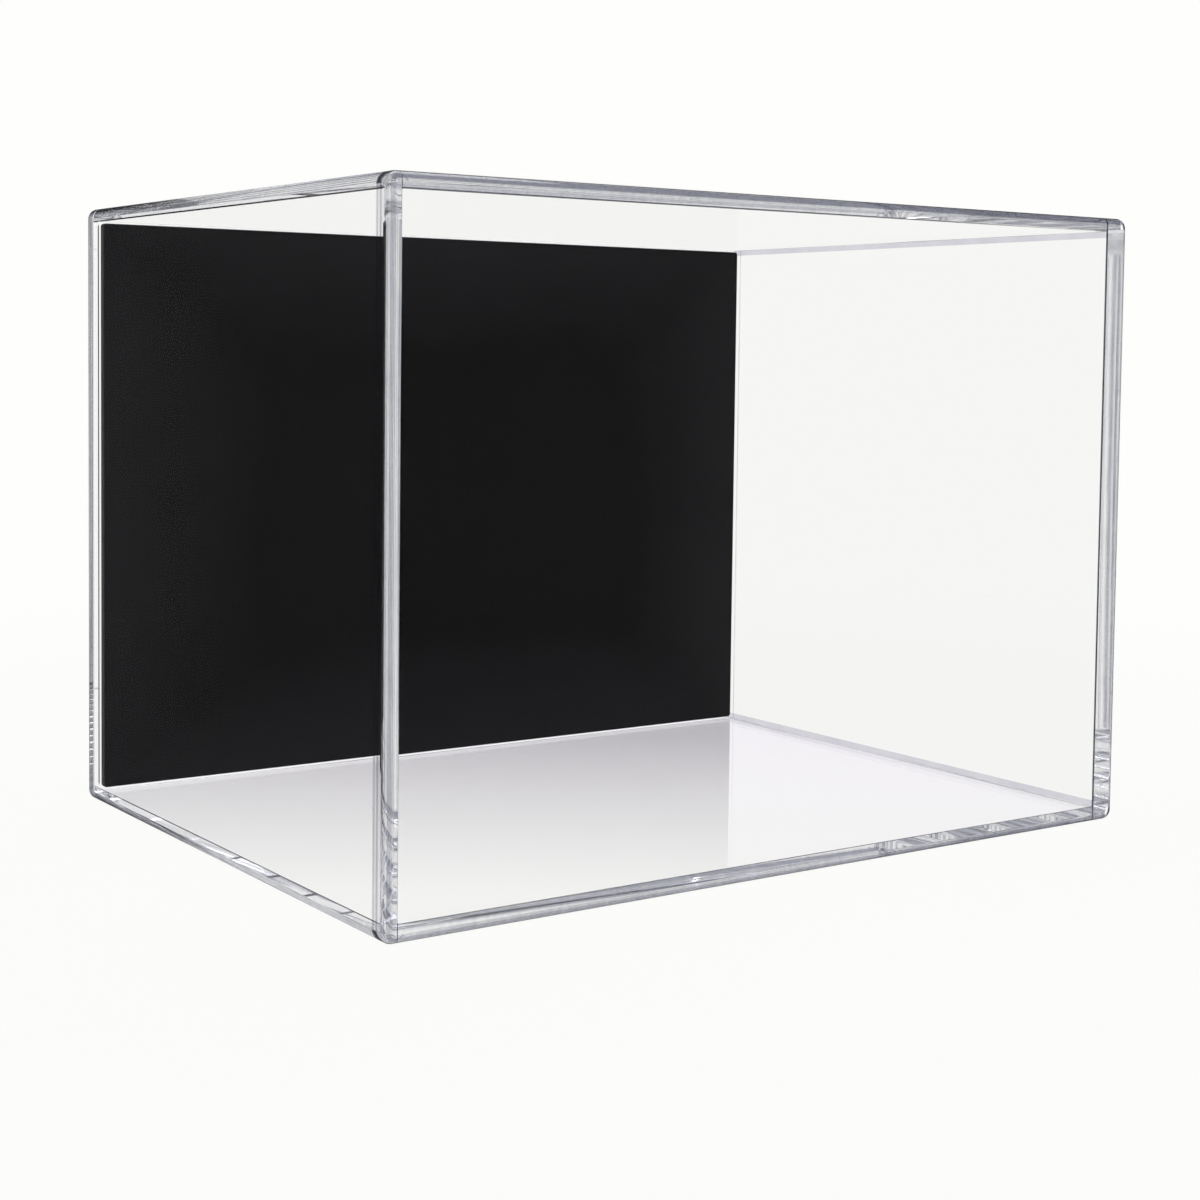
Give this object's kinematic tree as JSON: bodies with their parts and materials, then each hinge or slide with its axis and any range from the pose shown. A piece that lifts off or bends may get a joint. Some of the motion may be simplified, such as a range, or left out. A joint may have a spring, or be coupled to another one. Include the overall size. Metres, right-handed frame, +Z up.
{
  "type": "mini helmet display case",
  "caption": "Clear rectangular acrylic display case for a mini helmet, with rounded polished edges and a lift-off clear back that carries a black panel.",
  "frame": {"origin": "middle of the underside", "axes": "+Z up, the front faces -Y, and the removable back draws off towards +Y"},
  "size_m": [0.203, 0.152, 0.146],
  "materials": {
    "clear_acrylic": "polished clear cast acrylic",
    "black_acrylic": "satin black"
  },
  "bodies": {
    "clear_box": {"bottom_panel": "clear_acrylic", "top_panel": "clear_acrylic", "front_panel": "clear_acrylic", "left_side_panel": "clear_acrylic", "right_side_panel": "clear_acrylic"},
    "removable_back": {"back_plate": "clear_acrylic", "black_back_panel": "black_acrylic"}
  },
  "joints": [
    {"name": "back_lift_off", "type": "slide", "parent": "clear_box", "child": "removable_back", "axis": [0, 1, 0], "range_m": [0, 0.18]}
  ]
}
